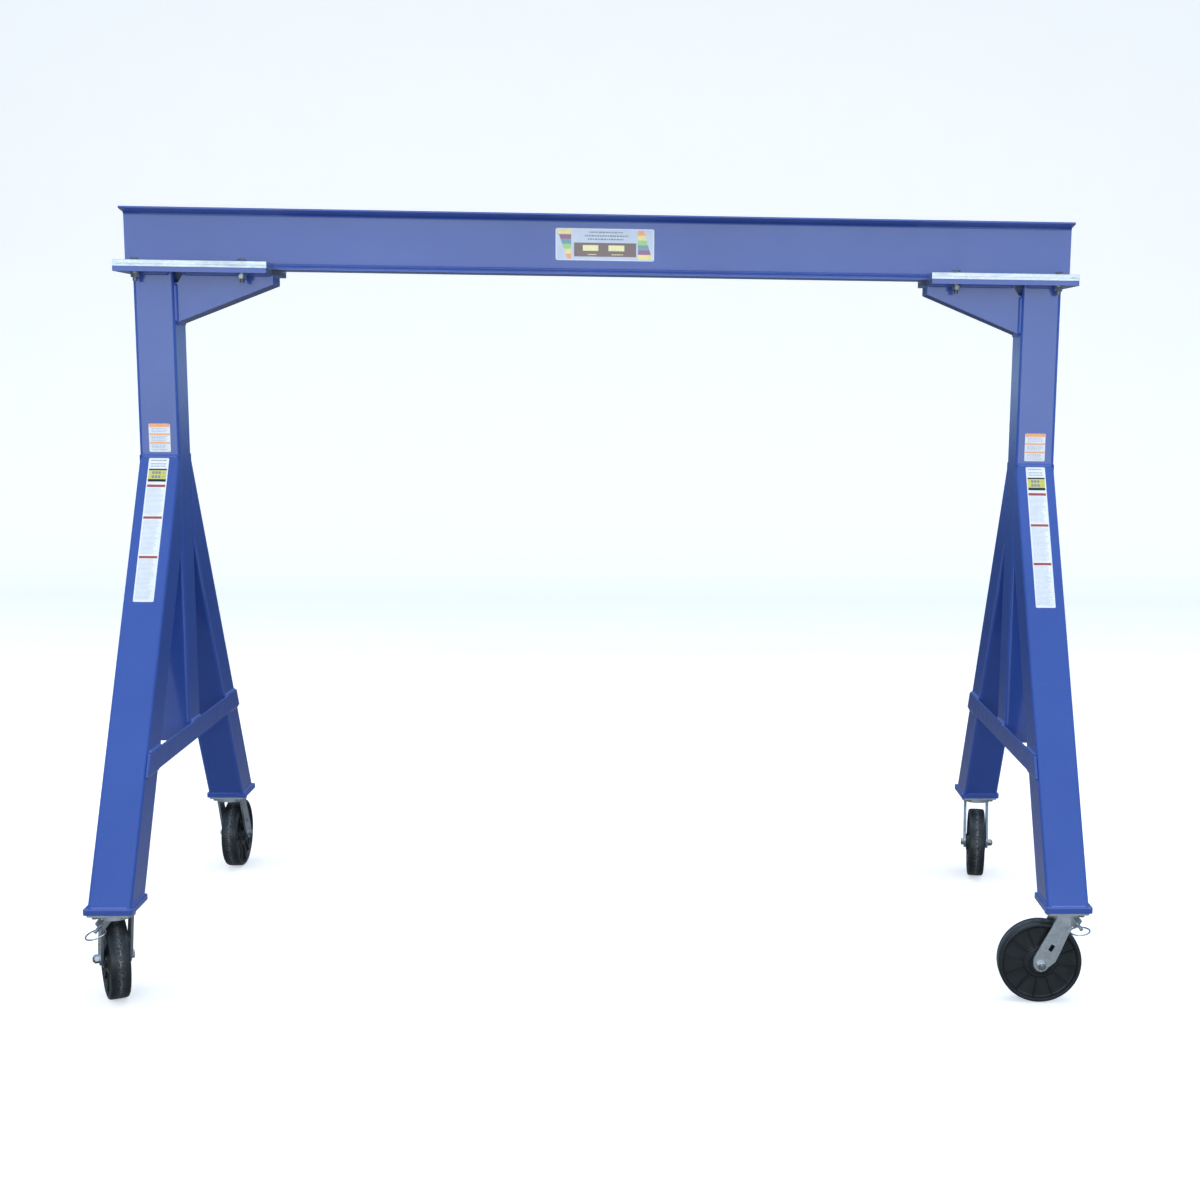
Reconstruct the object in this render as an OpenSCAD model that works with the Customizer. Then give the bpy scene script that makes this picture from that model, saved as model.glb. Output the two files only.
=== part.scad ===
// Portable gantry crane: an I-beam clamped to two A-frame trestles on swivel casters.
// +X along the beam, +Y to the rear, +Z up, floor at Z = 0.

/* [Beam] */
// Overall length of the beam
beam_l = 2438.4; // [2300:0.1:3000]
// Depth of the beam section
beam_d = 152.4; // [150:0.1:156]
// Flange width
flange_w = 84.6; // [80:0.1:90]
// Web thickness
web_t = 5.9; // [5:0.1:8]
// Mean flange thickness
flange_t = 9.1; // [8:0.1:10]
// Height of the underside of the beam above the floor
clear_h = 1758.6; // [1700:0.1:2400]

/* [Trestle] */
// Distance between the two columns, centre to centre
span = 2272.6; // [2200:0.1:2280]
// Outside size of the square tubes
tube = 101.6; // [95:0.1:102]
// Wall of the square tubes
wall = 4.8; // [4:0.1:6]
// Outside corner radius of the square tubes
tube_r = 9; // [6:0.5:12]
// Height of the weld where the legs meet the column faces
join_z = 1286; // [1200:1:1350]
// Distance of the foot centre from the beam's centre plane
foot_y = 521; // [515:1:530]
// Top of the cross brace
brace_z = 583; // [560:1:640]
// Height of the cross brace bar
brace_h = 50.8; // [45:0.2:76]
// Thickness of the cross brace bar
brace_t = 6.4; // [5:0.1:10]

/* [Head plate and clamps] */
// Thickness of the head plate
plate_t = 12.7; // [10:0.1:16]
// Head plate edge beyond the column centre, outwards
plate_out = 81.3; // [78:0.1:82]
// Head plate edge beyond the column centre, inwards
plate_in = 299; // [280:0.1:320]
// Width of the head plate across the beam
plate_w = 218; // [214:1:222]
// Width of each clamp bar
bar_w = 76.2; // [75:0.1:78]
// Thickness of each clamp bar
bar_t = 9.5; // [8:0.1:16]
// Thickness of the spacer under each clamp bar
spacer_t = 6.4; // [6:0.1:8]
// Outer clamp bolt from the column centre, outwards
bolt_out = 36; // [30:1:45]
// Inner clamp bolt from the column centre, inwards
bolt_in = 230; // [200:1:240]
// Gusset width across the beam
gusset_w = 76.2; // [60:0.1:80]
// Gusset depth at the column
gusset_d = 124; // [100:1:150]
// Gusset depth at its tip
gusset_tip = 24.5; // [15:0.5:30]

/* [Feet] */
// Foot plate size along the beam
foot_w = 114.3; // [112:0.1:120]
// Foot plate size across the beam
foot_d = 127; // [125:0.5:140]
// Foot plate thickness
foot_t = 12.7; // [10:0.1:16]

/* [Casters] */
// Wheel diameter
wheel_dia = 203.2; // [200:0.1:204]
// Tread width
tread_w = 47; // [45:0.1:48]
// Hub length
hub_l = 58; // [56:0.1:59]
// Overall caster height, floor to the top of its plate
caster_h = 241.3; // [241:0.1:245]
// Swivel offset, kingpin to axle
trail = 53; // [50:0.5:54]
// Inside width of the fork
fork_gap = 60; // [59.5:0.5:66]
// Thickness of the fork legs
fork_t = 6.4; // [5:0.1:7]
// Heading of the left front wheel behind its kingpin
ang_lf = 116; // [100:1:130]
// Heading of the left rear wheel behind its kingpin
ang_lr = 90; // [80:1:100]
// Heading of the right front wheel behind its kingpin
ang_rf = 176; // [165:1:180]
// Heading of the right rear wheel behind its kingpin
ang_rr = 261; // [250:1:275]
// Tilt of the lock pin below level
lock_tilt = 35; // [33:1:45]
// Outside diameter of the lock's pull ring
ring_od = 50; // [44:1:52]

/* [Hidden] */
$fn = 48;

hs = span / 2;                        // column centre from the beam's middle
bot = clear_h;                        // underside of the beam, top of the head plates
top = clear_h + beam_d;               // top of the beam
head_z = clear_h - plate_t;           // underside of the head plates
foot_z = caster_h + foot_t;           // top of the foot plates
q = tube / 2;
leg_out = foot_y + 50;                // outer leg face at the foot plate
run = (leg_out - q) / (join_z - foot_z);  // outward run of a leg for each unit of drop
lean = atan(run);
leg_h = tube / cos(lean);             // level depth of a leg
R = wheel_dia / 2;
cp_t = 6.35;                          // caster plate thickness
cp_z = caster_h - cp_t;               // underside of the caster plate
crown_z = cp_z - 7.35;                // top of the fork crown
crown_t = 6;
ball_r = 3.2;
ball_pc = 38;
king_r = 8;
axle_r = 6.35;
lock_ang = 125;                       // lock housing, turned from the trailing direction
pin_r = 4.04;
pin_bore = 4.1;
ring_wire = 1.8;
blue = [0.16, 0.28, 0.62];
zinc = [0.72, 0.75, 0.77];
dark = [0.10, 0.11, 0.12];

// ---- helpers ----
function arc(cx, cy, r, a0, a1, n) = [for (i = [0:n]) [cx + r * cos(a0 + (a1 - a0) * i / n), cy + r * sin(a0 + (a1 - a0) * i / n)]];

module rsq(w, d, r) {
  square([w - 2 * r, d], center = true);
  square([w, d - 2 * r], center = true);
  for (x = [-1, 1]) for (y = [-1, 1]) translate([x * (w / 2 - r), y * (d / 2 - r)]) circle(r);
}
module rtube(w, d, r, t, h) {
  linear_extrude(h) difference() {
    rsq(w, d, r);
    rsq(w - 2 * t, d - 2 * t, r - t * 0.8);
  }
}
module rplate(w, d, r, t) linear_extrude(t) rsq(w, d, r);
module hex(af, h) cylinder(h = h, r = af / 2 / cos(30), $fn = 6);
module side(s) { if (s < 0) mirror([1, 0, 0]) children(); else children(); }
// profile in the Y-Z plane, extruded along X from x0 to x1
module yz(pts, x0, x1) translate([x0, 0, 0]) rotate([90, 0, 90]) linear_extrude(x1 - x0) polygon(pts);
// profile in the X-Z plane, extruded along Y from y0 to y1
module xz(pts, y0, y1) translate([0, y1, 0]) rotate([90, 0, 0]) linear_extrude(y1 - y0) polygon(pts);

// ---- beam ----
slope = 1 / 6;
fx = flange_w / 2;
wx = web_t / 2;
function ft(x) = flange_t + ((fx + wx) / 2 - x) * slope;   // flange thickness at x from the web centre
fil = 7.5;
toe = 3.5;
sl = atan(slope);
// one quarter of the section, from the flange's middle round to the web, heights from the flange face
quarter = concat(
  [[fx, 0]],
  arc(fx - toe, ft(fx - toe) - toe * 1.02, toe, 0, 90 - sl, 5),
  arc(wx + fil, ft(wx + fil) + fil / cos(sl), fil, 270 - sl, 180, 6)
);
module beam_profile() {
  n = len(quarter);
  polygon(concat(
    [for (i = [0:n - 1]) [quarter[i][0], quarter[i][1]]],
    [for (i = [n - 1:-1:0]) [quarter[i][0], beam_d - quarter[i][1]]],
    [for (i = [0:n - 1]) [-quarter[i][0], beam_d - quarter[i][1]]],
    [for (i = [n - 1:-1:0]) [-quarter[i][0], quarter[i][1]]]
  ));
}
module i_beam() color(blue)
  translate([-beam_l / 2, 0, bot]) rotate([90, 0, 90]) linear_extrude(beam_l) beam_profile();

// thin printed sheets
lab_t = 0.3;
module beam_label() color("white")
  translate([3.5, -wx, bot + 79]) rotate([90, 0, 0]) rplate(254, 81, 4, lab_t);

// ---- trestle, drawn on the +X side with the beam running towards -X ----
module column() color(blue)
  translate([hs, 0, brace_z - brace_h + 3.5]) rtube(tube, tube, tube_r, wall, head_z - brace_z + brace_h - 3.5);

// legs lean outwards and are cut to the column's face and to the foot plate
module leg(f) color(blue)
  intersection() {
    translate([hs, f * (leg_out - leg_h / 2), foot_z]) rotate([f * lean, 0, 0])
      translate([0, 0, -80]) rtube(tube, tube, tube_r, wall, 1400);
    yz([[f * q, join_z + 30], [f * q, foot_z], [f * (leg_out + 40), foot_z], [f * (leg_out + 40), join_z + 30]], hs - tube, hs + tube);
  }

// flat bar lapped over the inner sides of legs and column
function outy(z) = q + (join_z - z) * run;
module cross_brace() color(blue)
  yz([[-outy(brace_z) + 3, brace_z], [outy(brace_z) - 3, brace_z],
      [outy(brace_z - brace_h) - 3, brace_z - brace_h], [-outy(brace_z - brace_h) + 3, brace_z - brace_h]],
     hs - q - brace_t, hs - q);

module clamp_at() for (x = [hs + bolt_out, hs - bolt_in]) for (y = [-1, 1]) translate([x, y * 75.5, 0]) children();

module top_plate() color(blue) difference() {
  translate([hs + (plate_out - plate_in) / 2, 0, head_z]) rplate(plate_in + plate_out, plate_w, 2.5, plate_t);
  clamp_at() translate([0, 0, head_z - 1]) cylinder(h = plate_t + 2, r = 6.75);
}

// tapered channel gusset, open to the head plate, sniped clear of the weld in the corner
module gusset() color(blue) {
  x0 = hs - q;
  x1 = hs - plate_in + 1;
  t = 6.35;
  k = (gusset_d - gusset_tip) / (x0 - x1);
  difference() {
    xz([[x0, head_z], [x1, head_z], [x1, head_z - gusset_tip], [x0, head_z - gusset_d]], -gusset_w / 2, gusset_w / 2);
    xz([[x0 + 1, head_z + 1], [x1 + t, head_z + 1], [x1 + t, head_z - gusset_tip + t * 1.08 - t * k], [x0 + 1, head_z - gusset_d + t * 1.08 - k]], -gusset_w / 2 + t, gusset_w / 2 - t);
    xz([[x0 + 1, head_z + 1], [x0 - 20, head_z + 1], [x0 - 20, head_z], [x0 - 7, head_z - 22], [x0 + 1, head_z - 22]], -gusset_w, gusset_w);
  }
}

module foot_at() for (y = [-1, 1]) translate([hs, y * foot_y, 0]) children();
module cbolt_at() for (x = [-1, 1]) for (y = [-1, 1]) translate([x * 33.3, y * 46, 0]) children();

module foot_plates() color(blue) foot_at() difference() {
  translate([0, 0, caster_h]) rplate(foot_w, foot_d, 9, foot_t);
  cbolt_at() translate([0, 0, caster_h - 1]) cylinder(h = foot_t + 2, r = 4.85);
}

// spacer strips beside the bottom flange
module clamp_spacers() color(zinc) for (f = [-1, 1]) difference() {
  yz([[f * plate_w / 2, bot], [f * (fx + 1.5), bot], [f * (fx + 1.5), bot + spacer_t], [f * plate_w / 2, bot + spacer_t]],
     hs - plate_in, hs + plate_out);
  clamp_at() translate([0, 0, bot - 1]) cylinder(h = 30, r = 6.75);
}
// clamp bars on the spacers, their noses bevelled to the flange
module clamp_bars() color(zinc) for (f = [-1, 1]) difference() {
  x0 = hs - plate_in; x1 = hs + plate_out;
  tip = plate_w / 2 - bar_w;
  yz([[f * plate_w / 2, bot + spacer_t], [f * (fx - 1), bot + spacer_t],
      [f * tip, bot + ft(tip) + 0.5], [f * tip, bot + spacer_t + bar_t], [f * plate_w / 2, bot + spacer_t + bar_t]], x0, x1);
  clamp_at() translate([0, 0, bot - 1]) cylinder(h = 30, r = 6.75);
}

module clamp_bolts() color(zinc) clamp_at() {
  z = bot + spacer_t + bar_t;
  translate([0, 0, z]) hex(19, 8);
  translate([0, 0, head_z - 22]) cylinder(h = z - head_z + 22.5, r = 6.35);
}
module clamp_nuts() color(zinc) clamp_at() difference() {
  translate([0, 0, head_z - 13]) union() { hex(19, 13); cylinder(h = 13, r = 9); }
  translate([0, 0, head_z - 14]) cylinder(h = 15, r = 6.4);
}

// ---- caster parts fixed to the trestle ----
lock_pos = [0, 90, 180, 270];
module caster_plates() color(zinc) foot_at() difference() {
  union() {
    translate([0, 0, cp_z]) rplate(101.6, 114.3, 7, cp_t);
    translate([0, 0, cp_z - 1.6]) difference() { cylinder(h = 2, r = 34.5); translate([0, 0, -1]) cylinder(h = 4, r = 29); }
  }
  cbolt_at() translate([0, 0, cp_z - 1]) cylinder(h = cp_t + 2, r = 4.85);
  translate([0, 0, cp_z - 1]) cylinder(h = cp_t + 2, r = king_r + 0.1);
  translate([0, 0, caster_h - 2.6]) cylinder(h = 4, r = 11.1);
  for (a = lock_pos) rotate([0, 0, a]) translate([24, 0, crown_z - 1]) rotate([0, 90 + lock_tilt, 0]) translate([0, 0, -17]) cylinder(h = 6, r = 4.8);
}
module kingpins() color(zinc) foot_at() {
  translate([0, 0, crown_z - crown_t - 10]) cylinder(h = caster_h - (crown_z - crown_t - 10), r = king_r);
  translate([0, 0, caster_h - 2.5]) cylinder(h = 2.5, r = 11);
  difference() {
    translate([0, 0, crown_z - crown_t - 8.4]) hex(24, 8);
    translate([0, 0, crown_z - crown_t - 9]) cylinder(h = 10, r = king_r + 0.05);
  }
}
module swivel_balls() color(zinc) foot_at() for (i = [0:15]) rotate([0, 0, i * 22.5 + 11.25]) translate([ball_pc, 0, cp_z - 3.65]) sphere(ball_r);
module caster_bolts() color(zinc) foot_at() cbolt_at() {
  translate([0, 0, cp_z - 6.2]) hex(14.3, 6.2);
  translate([0, 0, cp_z - 0.5]) cylinder(h = cp_t + foot_t + 0.5, r = 4.76);
}

// printed sheets on the column and on the front leg, facing the front
module labels() color("white") {
  translate([hs - 2, -q, join_z + 45]) rotate([90, 0, 0]) rplate(54, 72.4, 3, lab_t);
  translate([hs, -q, join_z]) rotate([-lean, 0, 0]) translate([0, 0, -7.5 - 195]) rotate([90, 0, 0]) rplate(51, 390, 3, lab_t);
}

// ---- swivelling caster, drawn with the kingpin on Z and the wheel trailing towards +X ----
module fork_leg() {
  // outline in the X-Z plane
  pts = [[-27, crown_z], [-27, crown_z - crown_t], [-13.4, 190.5], [8.5, 135], [19.6, 109.8],
         [trail - 17, R - 6], [trail - 9, R - 15], [trail + 1, R - 17.5], [trail + 11, R - 14],
         [trail + 18, R - 5], [trail + 19.5, R + 6], [trail + 18.5, R + 18.5], [24.1, 210.7], [16, crown_z]];
  xz(pts, fork_gap / 2, fork_gap / 2 + fork_t);
}
module lock_axis() rotate([0, 0, lock_ang]) translate([24, 0, crown_z - 1]) rotate([0, 90 + lock_tilt, 0]) children();
module fork(locked) color(zinc) difference() {
  union() {
    translate([0, 0, crown_z - crown_t]) cylinder(h = crown_t, r = 44, $fn = 64);
    translate([0, 0, crown_z - 0.5]) difference() {
      cylinder(h = 5.5, r = 44, $fn = 64);
      translate([0, 0, -1]) cylinder(h = 8, r = 41.7, $fn = 64);
    }
    translate([-27, -fork_gap / 2 - fork_t, crown_z - crown_t]) cube([43, fork_gap + 2 * fork_t, crown_t]);
    fork_leg();
    mirror([0, 1, 0]) fork_leg();
    if (locked) intersection() {
      lock_axis() translate([-9.5, -9.5, 3]) cube([19, 19, 29.5]);
      translate([-80, -80, 150]) cube([160, 160, crown_z - 150]);
    }
  }
  translate([0, 0, 200]) cylinder(h = 50, r = king_r + 0.08);
  // axle holes
  translate([trail, 0, R]) rotate([90, 0, 0]) translate([0, 0, -60]) cylinder(h = 120, r = axle_r + 0.05);
  // slot near the middle of each leg
  translate([30, -60, 145]) rotate([0, -28, 0]) translate([-5, 0, -8.5]) cube([10, 120, 17]);
  if (locked) {
    lock_axis() translate([0, 0, -13]) cylinder(h = 53, r = pin_bore);
    lock_axis() translate([0, 0, 12]) cylinder(h = 18.5, r = 7.2);
  }
}
// place of the pin's eye, where the pull ring hangs
eye_s = 41;
eye_x = 24 + eye_s * cos(lock_tilt);
eye_z = crown_z - 1 - eye_s * sin(lock_tilt);
module at_eye() translate([eye_x * cos(lock_ang), eye_x * sin(lock_ang), eye_z]) children();
module lock_pin(yaw, cant) color(zinc) difference() {
  lock_axis() {
    translate([0, 0, -7]) cylinder(h = eye_s + 8.8 + 7, r = pin_r);
    translate([0, 0, 12.4]) cylinder(h = 2.2, r = 6.8);
  }
  at_eye() rotate([0, 0, yaw]) rotate([cant, 0, 0]) rotate([90, 0, 0]) cylinder(h = 24, r = 3.1, center = true);
}
// return spring, shown at its working length behind the collar
module lock_spring() color(zinc) lock_axis() {
  n = 60; turns = 3.6; wr = 0.75; cr = 5.9; z0 = 23.6; z1 = 29.6;
  pts = [for (i = [0:n]) let (a = 360 * turns * i / n, z = z0 + (z1 - z0) * i / n)
         for (j = [0:7]) let (b = 45 * j) [(cr + wr * cos(b)) * cos(a), (cr + wr * cos(b)) * sin(a), z + wr * sin(b)]];
  fc = concat(
    [[for (j = [0:7]) j]],
    [for (i = [0:n - 1]) for (j = [0:7]) [i * 8 + j, (i + 1) * 8 + j, (i + 1) * 8 + (j + 1) % 8, i * 8 + (j + 1) % 8]],
    [[for (j = [7:-1:0]) n * 8 + j]]);
  polyhedron(points = pts, faces = fc, convexity = 6);
}

module wheel() color(dark) {
  h = hub_l / 2; w = tread_w / 2;
  half = [[14.2, h], [23.5, h], [25.5, h - 2], [27, 20.5], [36, 19.5], [37.5, 18], [39, 14.5], [87.5, 14.5], [89.5, 16], [91.2, w - 1.2],
          [92.4, w - 0.4], [96.5, w], [99.4, w - 1.6], [100.9, w - 4.5], [R, w - 9]];
  n = len(half);
  translate([trail, 0, R]) rotate([90, 0, 0]) union() {
    rotate_extrude($fn = 96) polygon(concat(half, [for (i = [n - 1:-1:0]) [half[i][0], -half[i][1]]]));
    for (k = [-1, 1]) for (i = [0:11]) rotate([0, 0, i * 30 + 8]) translate([0, 1.3, 0]) rotate([90, 0, 0])
      linear_extrude(2.6) polygon([[34, k * 10], [34, k * 18], [90, k * 20.5], [90, k * 10]]);
  }
}
module wheel_bearing() color(zinc) translate([trail, 0, R]) rotate([90, 0, 0]) difference() {
  cylinder(h = hub_l - 0.5, r = 14.15, center = true);
  cylinder(h = hub_l + 2, r = axle_r + 0.08, center = true);
}
// axle bolt: head on the -Y side, nut and thread end on the +Y side
module axle() color(zinc) {
  o = fork_gap / 2 + fork_t;
  translate([trail, -o - 8, R]) rotate([-90, 0, 0]) hex(19, 8);
  translate([trail, -o - 0.5, R]) rotate([-90, 0, 0]) cylinder(h = 2 * o + 15.5, r = axle_r);
  translate([trail, o, R]) rotate([-90, 0, 0]) difference() {
    union() { hex(19, 11); cylinder(h = 13, r = 8.6); }
    translate([0, 0, -1]) cylinder(h = 16, r = axle_r + 0.05);
  }
}
// pull ring through the eye of the lock pin, reaching towards yaw, dipping below level and canted sideways
module lock_ring(yaw, dip, cant) color(zinc) {
  rr = ring_od / 2 - ring_wire;
  at_eye() rotate([0, 0, yaw]) rotate([0, dip, 0]) rotate([cant, 0, 0]) translate([rr - 0.4, 0, 0])
    rotate_extrude($fn = 64) translate([rr, 0]) circle(ring_wire, $fn = 24);
}

module place(s, f, a) translate([s * hs, f * foot_y, 0]) rotate([0, 0, a]) children();

i_beam();
beam_label();
side(-1) column();  // left_column
side(-1) leg(-1);  // left_leg_front
side(-1) leg(1);  // left_leg_rear
side(-1) cross_brace();  // left_cross_brace
side(-1) top_plate();  // left_top_plate
side(-1) gusset();  // left_gusset
side(-1) foot_plates();  // left_foot_plates
side(-1) clamp_bars();  // left_clamp_bars
side(-1) clamp_spacers();  // left_clamp_spacers
side(-1) clamp_bolts();  // left_clamp_bolts
side(-1) clamp_nuts();  // left_clamp_nuts
side(-1) caster_plates();  // left_caster_plates
side(-1) kingpins();  // left_kingpins
side(-1) swivel_balls();  // left_swivel_balls
side(-1) caster_bolts();  // left_caster_bolts
side(-1) labels();  // left_labels
side(1) column();  // right_column
side(1) leg(-1);  // right_leg_front
side(1) leg(1);  // right_leg_rear
side(1) cross_brace();  // right_cross_brace
side(1) top_plate();  // right_top_plate
side(1) gusset();  // right_gusset
side(1) foot_plates();  // right_foot_plates
side(1) clamp_bars();  // right_clamp_bars
side(1) clamp_spacers();  // right_clamp_spacers
side(1) clamp_bolts();  // right_clamp_bolts
side(1) clamp_nuts();  // right_clamp_nuts
side(1) caster_plates();  // right_caster_plates
side(1) kingpins();  // right_kingpins
side(1) swivel_balls();  // right_swivel_balls
side(1) caster_bolts();  // right_caster_bolts
side(1) labels();  // right_labels

place(-1, -1, ang_lf) fork(true);  // left_front_fork
place(-1, -1, ang_lf) wheel();  // left_front_wheel
place(-1, -1, ang_lf) wheel_bearing();  // left_front_wheel_bearing
place(-1, -1, ang_lf) axle();  // left_front_axle
place(-1, -1, ang_lf) lock_pin(280 - ang_lf, 13);  // left_front_lock_pin
place(-1, -1, ang_lf) lock_spring();  // left_front_lock_spring
place(-1, -1, ang_lf) lock_ring(280 - ang_lf, 9, 13);  // left_front_lock_ring
place(-1, 1, ang_lr) fork(false);  // left_rear_fork
place(-1, 1, ang_lr) wheel();  // left_rear_wheel
place(-1, 1, ang_lr) wheel_bearing();  // left_rear_wheel_bearing
place(-1, 1, ang_lr) axle();  // left_rear_axle
place(1, -1, ang_rf) fork(true);  // right_front_fork
place(1, -1, ang_rf) wheel();  // right_front_wheel
place(1, -1, ang_rf) wheel_bearing();  // right_front_wheel_bearing
place(1, -1, ang_rf) axle();  // right_front_axle
place(1, -1, ang_rf) lock_pin(256 - ang_rf, 6);  // right_front_lock_pin
place(1, -1, ang_rf) lock_spring();  // right_front_lock_spring
place(1, -1, ang_rf) lock_ring(256 - ang_rf, 5, 6);  // right_front_lock_ring
place(1, 1, ang_rr) fork(false);  // right_rear_fork
place(1, 1, ang_rr) wheel();  // right_rear_wheel
place(1, 1, ang_rr) wheel_bearing();  // right_rear_wheel_bearing
place(1, 1, ang_rr) axle();  // right_rear_axle
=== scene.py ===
import math
import random

import bmesh
import bpy
from mathutils import Matrix, Vector, noise


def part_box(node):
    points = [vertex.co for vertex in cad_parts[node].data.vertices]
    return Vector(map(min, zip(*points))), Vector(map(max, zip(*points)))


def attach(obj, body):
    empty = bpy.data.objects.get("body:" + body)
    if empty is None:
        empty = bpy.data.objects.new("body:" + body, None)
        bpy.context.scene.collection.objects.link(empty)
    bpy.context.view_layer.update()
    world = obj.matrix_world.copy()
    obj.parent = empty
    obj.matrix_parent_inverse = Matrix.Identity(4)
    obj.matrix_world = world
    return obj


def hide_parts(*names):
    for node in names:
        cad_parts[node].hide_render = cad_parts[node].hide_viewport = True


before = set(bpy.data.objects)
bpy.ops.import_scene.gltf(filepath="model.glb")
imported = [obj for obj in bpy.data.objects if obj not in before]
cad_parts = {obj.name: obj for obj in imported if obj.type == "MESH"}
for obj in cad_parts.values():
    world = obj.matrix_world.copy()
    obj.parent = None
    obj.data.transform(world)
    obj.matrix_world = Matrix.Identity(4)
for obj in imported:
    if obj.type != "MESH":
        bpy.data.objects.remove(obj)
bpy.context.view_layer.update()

# ---------------------------------------------------------------- sizes, metres, from the CAD
HS, BOT, TOP = 1.1363, 1.7586, 1.9110
PLATE_T, CASTER_H, FOOT_T = 0.0127, 0.2413, 0.0127
HEAD = BOT - PLATE_T
FOOT = CASTER_H + FOOT_T
Q, FOOT_Y = 0.0508, 0.521
JOIN = 1.286
LEG_OUT = FOOT_Y + 0.05
RUN = (LEG_OUT - Q) / (JOIN - FOOT)
LEAN = math.atan(RUN)
LEG_H = 2 * Q / math.cos(LEAN)
BRACE_Z, BRACE_H, BRACE_T = 0.583, 0.0508, 0.0064
PLATE_OUT, PLATE_IN, PLATE_W = 0.0813, 0.299, 0.218
BOLT_OUT, BOLT_IN, BOLT_Y = 0.036, 0.230, 0.0755
SPACER, BAR = 0.0064, 0.0095
GUS_W, GUS_D, GUS_TIP = 0.0762, 0.124, 0.0245
CP_T = 0.00635
CP = CASTER_H - CP_T
CROWN, CROWN_T = CP - 0.00735, 0.006
R, TRAIL, FORK_GAP, FORK_T = 0.1016, 0.053, 0.060, 0.0064
ANG = {"left_front": 116, "left_rear": 90, "right_front": 176, "right_rear": 261}
LOCK_ANG, EYE_S = 125, 0.041
TILT = math.radians(35)


# ---------------------------------------------------------------- materials
def mat_new(name):
    m = bpy.data.materials.new(name)
    m.use_nodes = True
    nt = m.node_tree
    return m, nt, nt.nodes["Principled BSDF"]


def node(nt, kind, **props):
    n = nt.nodes.new(kind)
    for k, v in props.items():
        setattr(n, k, v)
    return n


def coords(nt, scale=(1, 1, 1), loc=(0, 0, 0)):
    tc = node(nt, "ShaderNodeTexCoord")
    mp = node(nt, "ShaderNodeMapping")
    mp.inputs["Scale"].default_value = scale
    mp.inputs["Location"].default_value = loc
    nt.links.new(tc.outputs["Object"], mp.inputs["Vector"])
    return mp.outputs["Vector"]


def noise_tex(nt, vec, scale, detail=4.0, rough=0.55, distort=0.0):
    n = node(nt, "ShaderNodeTexNoise")
    n.inputs["Scale"].default_value = scale
    n.inputs["Detail"].default_value = detail
    n.inputs["Roughness"].default_value = rough
    n.inputs["Distortion"].default_value = distort
    nt.links.new(vec, n.inputs["Vector"])
    return n.outputs["Fac"]


def ramp(nt, fac, stops):
    r = node(nt, "ShaderNodeValToRGB")
    e = r.color_ramp.elements
    while len(e) > 1:
        e.remove(e[-1])
    e[0].position = stops[0][0]
    e[0].color = (*stops[0][1], 1) if len(stops[0][1]) == 3 else stops[0][1]
    for p, c in stops[1:]:
        x = e.new(p)
        x.color = (*c, 1) if len(c) == 3 else c
    nt.links.new(fac, r.inputs["Fac"])
    return r.outputs["Color"]


def grey(v):
    return (v, v, v)


def mix(nt, fac, a, b, mode="MIX"):
    m = node(nt, "ShaderNodeMix", data_type="RGBA", blend_type=mode)
    if isinstance(fac, float):
        m.inputs[0].default_value = fac
    else:
        nt.links.new(fac, m.inputs[0])
    for i, v in ((6, a), (7, b)):
        if isinstance(v, tuple):
            m.inputs[i].default_value = (*v, 1) if len(v) == 3 else v
        else:
            nt.links.new(v, m.inputs[i])
    return m.outputs[2]


def math_node(nt, op, a, b=None, clamp=False):
    m = node(nt, "ShaderNodeMath", operation=op, use_clamp=clamp)
    for i, v in ((0, a), (1, b)):
        if v is None:
            continue
        if isinstance(v, (int, float)):
            m.inputs[i].default_value = v
        else:
            nt.links.new(v, m.inputs[i])
    return m.outputs[0]


def bump(nt, bsdf, height, strength, distance, chain=None):
    b = node(nt, "ShaderNodeBump")
    b.inputs["Strength"].default_value = strength
    b.inputs["Distance"].default_value = distance
    nt.links.new(height, b.inputs["Height"])
    if chain is not None:
        nt.links.new(chain, b.inputs["Normal"])
    nt.links.new(b.outputs["Normal"], bsdf.inputs["Normal"])
    return b.outputs["Normal"]


def edge_attr(nt):
    a = node(nt, "ShaderNodeAttribute", attribute_name="edge")
    return a.outputs["Fac"]


def up_mask(nt, lo=0.6, hi=0.98):
    g = node(nt, "ShaderNodeNewGeometry")
    s = node(nt, "ShaderNodeSeparateXYZ")
    nt.links.new(g.outputs["Normal"], s.inputs[0])
    m = node(nt, "ShaderNodeMapRange")
    m.inputs["From Min"].default_value = lo
    m.inputs["From Max"].default_value = hi
    nt.links.new(s.outputs["Z"], m.inputs["Value"])
    return m.outputs["Result"]


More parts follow.
